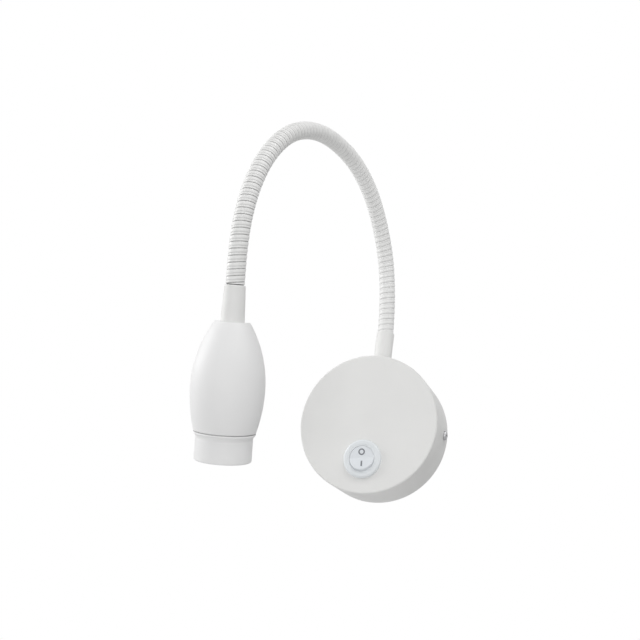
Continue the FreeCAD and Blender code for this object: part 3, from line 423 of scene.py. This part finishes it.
def make_hose():
    stretches = hose_stretches()
    sample_centreline(stretches, RIB_PITCH / ROWS_PER_PITCH)
    nodes = frame["nodes"]
    whole_length = stretches[-1]["rows"][-1][3]

    def shape(length, angle):
        # the tucked end is painted fully in shade, as a dark gap at the ferrule
        if length > whole_length - TUCKED_LENGTH:
            return TUCKED_R, 1.0
        return hose_radius(length, angle)

    for number, stretch in enumerate(stretches, 1):
        start, corner, end = stretch["curve"]
        hose = tube_mesh("hose_piece_%02d" % number, stretch["rows"], HOSE_SIDES, shape, HOSE_INNER_R)
        hose.data.materials.append(hose_white)
        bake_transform(hose)
        link = "hose_link_%02d" % number
        if link in nodes:
            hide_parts(link)
        lead_rows = stretch["rows"][:-1:LEAD_ROW_STEP] + stretch["rows"][-1:]
        lead = tube_mesh("lead_piece_%02d" % number, lead_rows, LEAD_SIDES, lambda s, a: (LEAD_R, 0.0))
        lead.data.materials.append(sheath)
        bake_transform(lead)
        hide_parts("flex_lead")
    make_lead_end("lead_in_canopy", stretches[0]["rows"][0][0], "base")
    make_lead_end("lead_in_head", stretches[-1]["rows"][-1][0], "head")


def make_lead_end(name, start, body):
    """The straight ends of the lead, in the canopy and in the head."""
    if body == "head":
        low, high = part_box("led_board")
        axis = (lens_middle() - start).normalized()
        reach = ((low + high) / 2 - start).dot(axis) - LEAD_END_GAP
    else:
        axis = Vector((0, 0, -1))
        reach = start.z - (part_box("driver_board")[1].z - CONNECTOR_DROP)
    side = axis.orthogonal().normalized()
    steps = range(LEAD_END_STEPS + 1)
    rows = [(start + axis * reach * i / LEAD_END_STEPS, axis, side, 0.0) for i in steps]
    lead = tube_mesh(name, rows, LEAD_SIDES, lambda s, a: (LEAD_R, 0.0))
    lead.data.materials.append(sheath)
    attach(lead, body)
    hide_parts("flex_lead")


# ---------------------------------------------------------------- switch: rocker marks and bezel lip
ROCKER_HALF_ANGLE = math.radians(7.0)
FACE_VALLEY = 2.7 * MM          # from the rocker's pivot to the valley between its faces
MARK_OFFSET = 3.6 * MM
RING_OUTER_R = 2.0 * MM
RING_LINE = 0.8 * MM
BAR_WIDTH = 0.95 * MM
BAR_LENGTH = 3.4 * MM
MARK_HEIGHT = 0.04 * MM         # of the marks over the rocker's face, and as far below it
CIRCLE_SIDES = 48
LIP_INNER_R = 7.68 * MM
LIP_OUTER_R = 8.4 * MM
LIP_LOW = 2.62 * MM             # above the rocker's pivot
LIP_HIGH = 2.85 * MM
LIP_EDGE = 0.08 * MM            # chamfer of the lip's inner edge
LIP_SIDES = 96
LIP_SHARP_ANGLE = math.radians(40)


def prism(outer, inner=None):
    """A thin closed plate from one outline, or between two outlines of as many points."""
    n = len(outer)
    outlines = [outer] if inner is None else [outer, inner]
    heights = (-MARK_HEIGHT, MARK_HEIGHT)
    vertices = [Vector((x, y, z)) for outline in outlines for z in heights for x, y in outline]
    faces = band(0, n, n)
    if inner is None:
        faces += [tuple(reversed(range(n))), tuple(range(n, 2 * n))]
    else:
        faces += band(2 * n, 3 * n, n, inward=True)
        faces += band(n, 3 * n, n)
        faces += band(0, 2 * n, n, inward=True)
    return vertices, faces


def circle(radius):
    turns = [2 * math.pi * i / CIRCLE_SIDES for i in range(CIRCLE_SIDES)]
    return [(radius * math.cos(turn), radius * math.sin(turn)) for turn in turns]


def rocker_joint():
    return next(j for j in frame["joints"] if j["name"] == "rocker_tilt")


def make_bezel_lip():
    """A thin lip inside the bezel that narrows the gap round the rocker."""
    centre = Vector(rocker_joint()["pos_m"])
    corners = [(LIP_OUTER_R, LIP_LOW), (LIP_INNER_R, LIP_LOW), (LIP_INNER_R, LIP_HIGH - LIP_EDGE),
               (LIP_INNER_R + LIP_EDGE, LIP_HIGH), (LIP_OUTER_R, LIP_HIGH)]
    vertices, faces = [], []
    for i in range(LIP_SIDES):
        angle = 2 * math.pi * i / LIP_SIDES
        for radius, height in corners:
            vertices.append(centre + Vector((radius * math.cos(angle), -height, radius * math.sin(angle))))
    n = len(corners)
    for i in range(LIP_SIDES):
        here, there = i * n, (i + 1) % LIP_SIDES * n
        for j in range(n):
            k = (j + 1) % n
            faces.append((here + j, there + j, there + k, here + k))
    lip = new_object("bezel_lip", vertices, faces)
    lip.data.set_sharp_from_angle(angle=LIP_SHARP_ANGLE)
    lip.data.materials.append(bezel_white)
    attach(lip, "base")


def make_rocker_marks():
    joint = rocker_joint()
    along = Vector(joint["axis"])
    outward = Vector((0, -1, 0))
    axes = Matrix((along, outward.cross(along), outward)).transposed().to_4x4()
    rocker = Matrix.Translation(joint["pos_m"]) @ axes @ Matrix.Rotation(-ROCKER_HALF_ANGLE, 4, "X")
    half_x, half_y = BAR_WIDTH / 2, BAR_LENGTH / 2
    bar = [(-half_x, -half_y), (half_x, -half_y), (half_x, half_y), (-half_x, half_y)]
    off_ring = prism(circle(RING_OUTER_R), circle(RING_OUTER_R - RING_LINE))
    shapes = {"mark_off": (1, off_ring), "mark_on": (-1, prism(bar))}
    height = FACE_VALLEY + MARK_OFFSET * math.tan(ROCKER_HALF_ANGLE)
    for name, (side, (vertices, faces)) in shapes.items():
        tilt = Matrix.Rotation(side * ROCKER_HALF_ANGLE, 4, "X")
        place = Matrix.Translation((0, side * MARK_OFFSET, height)) @ tilt
        mark = new_object(name, [rocker @ place @ v for v in vertices], faces, smooth=False)
        mark.data.materials.append(mark_grey)
        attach(mark, "rocker")


# ---------------------------------------------------------------- stage, light and camera
def seen_rays(tree):
    """1 for camera, glossy and transmission rays, which show the background, and 0 for the rest."""
    paths = node(tree, "ShaderNodeLightPath")
    both = node(tree, "ShaderNodeMath", operation="ADD")
    tree.links.new(paths.outputs["Is Camera Ray"], both.inputs[0])
    tree.links.new(paths.outputs["Is Glossy Ray"], both.inputs[1])
    every = node(tree, "ShaderNodeMath", operation="ADD", use_clamp=True)
    tree.links.new(both.outputs[0], every.inputs[0])
    tree.links.new(paths.outputs["Is Transmission Ray"], every.inputs[1])
    return every.outputs[0]


FILL_LIGHT = 0.37               # how much the world itself lights the lamp
FLOOR_GLOW = 0.22               # how pale the floor looks, without light on the lamp
FLOOR_HALF = 4.0
FLOOR_LEVEL = -0.9


def background_world():
    world = bpy.data.worlds.new("studio")
    bpy.context.scene.world = world
    world.use_nodes = True
    tree = world.node_tree
    tree.nodes.clear()
    fill = node(tree, "ShaderNodeBackground", Strength=FILL_LIGHT)
    white = node(tree, "ShaderNodeBackground", Strength=1.0)
    for shade in (fill, white):
        shade.inputs["Color"].default_value = (1, 1, 1, 1)
    shown = node(tree, "ShaderNodeMixShader")
    tree.links.new(seen_rays(tree), shown.inputs[0])
    tree.links.new(fill.outputs[0], shown.inputs[1])
    tree.links.new(white.outputs[0], shown.inputs[2])
    out = node(tree, "ShaderNodeOutputWorld")
    tree.links.new(shown.outputs[0], out.inputs["Surface"])


def make_floor():
    signs = ((-1, -1), (1, -1), (1, 1), (-1, 1))
    corners = [(x * FLOOR_HALF, y * FLOOR_HALF, FLOOR_LEVEL) for x, y in signs]
    floor = new_object("floor", corners, [(0, 1, 2, 3)], smooth=False)
    made, tree, shader = material("floor_pale")
    tone = noise(tree, 3.0, 4.0)
    pale = mix_colours(tree, tone.outputs["Fac"], (0.92, 0.92, 0.92), (0.89, 0.89, 0.89))
    tree.links.new(pale, shader.inputs["Base Color"])
    shader.inputs["Roughness"].default_value = 0.8
    shader.inputs["Emission Color"].default_value = (1, 1, 1, 1)
    glow = node(tree, "ShaderNodeMath", operation="MULTIPLY")
    glow.inputs[1].default_value = FLOOR_GLOW
    tree.links.new(seen_rays(tree), glow.inputs[0])
    tree.links.new(glow.outputs[0], shader.inputs["Emission Strength"])
    floor.data.materials.append(made)


LAMPS_AIM = Vector((-0.02, -0.07, 0.04))
LAMPS = {                       # place and width in metres, power in watts
    "left": ((-1.25, -0.33, 0.36), 1.1, 9.5),
    "above": ((0.56, -0.65, 1.04), 1.0, 7.3),
    "front": ((0.24, -1.24, -0.30), 0.9, 4.0),
}


def area_lamp(name, place, size, power):
    data = bpy.data.lights.new(name, "AREA")
    data.shape = "DISK"
    data.size = size
    data.energy = power
    lamp = bpy.data.objects.new(name, data)
    lamp.location = place
    lamp.rotation_euler = (LAMPS_AIM - lamp.location).to_track_quat("-Z", "Y").to_euler()
    bpy.context.scene.collection.objects.link(lamp)


def make_camera():
    azimuth, elevation, roll = (math.radians(a) for a in (CAMERA_AZIMUTH, CAMERA_ELEVATION, CAMERA_ROLL))
    flat = math.cos(elevation)
    back = Vector((math.sin(azimuth) * flat, -math.cos(azimuth) * flat, math.sin(elevation)))
    level_right = (-back).cross(Vector((0, 0, 1))).normalized()
    level_up = back.cross(level_right).normalized()
    right = level_right * math.cos(roll) + level_up * math.sin(roll)
    up = level_up * math.cos(roll) - level_right * math.sin(roll)
    eye = right * AIM_RIGHT + up * AIM_UP + back * CAMERA_DISTANCE
    data = bpy.data.cameras.new("camera")
    data.sensor_width = SENSOR_WIDTH
    data.lens = FOCAL_PIXELS / PICTURE_WIDTH * SENSOR_WIDTH
    data.clip_start = CLIP_START
    camera = bpy.data.objects.new("camera", data)
    columns = Matrix((right, up, back)).transposed().to_4x4()
    camera.matrix_world = Matrix.Translation(eye) @ columns
    bpy.context.scene.collection.objects.link(camera)
    bpy.context.scene.camera = camera


make_camera()
background_world()
make_floor()
for lamp_name, (place, size, power) in LAMPS.items():
    area_lamp(lamp_name, place, size, power)
finish_cad_nodes()
make_hose()
make_rocker_marks()
make_bezel_lip()

bpy.context.scene.view_settings.view_transform = "Standard"
bpy.context.view_layer.update()
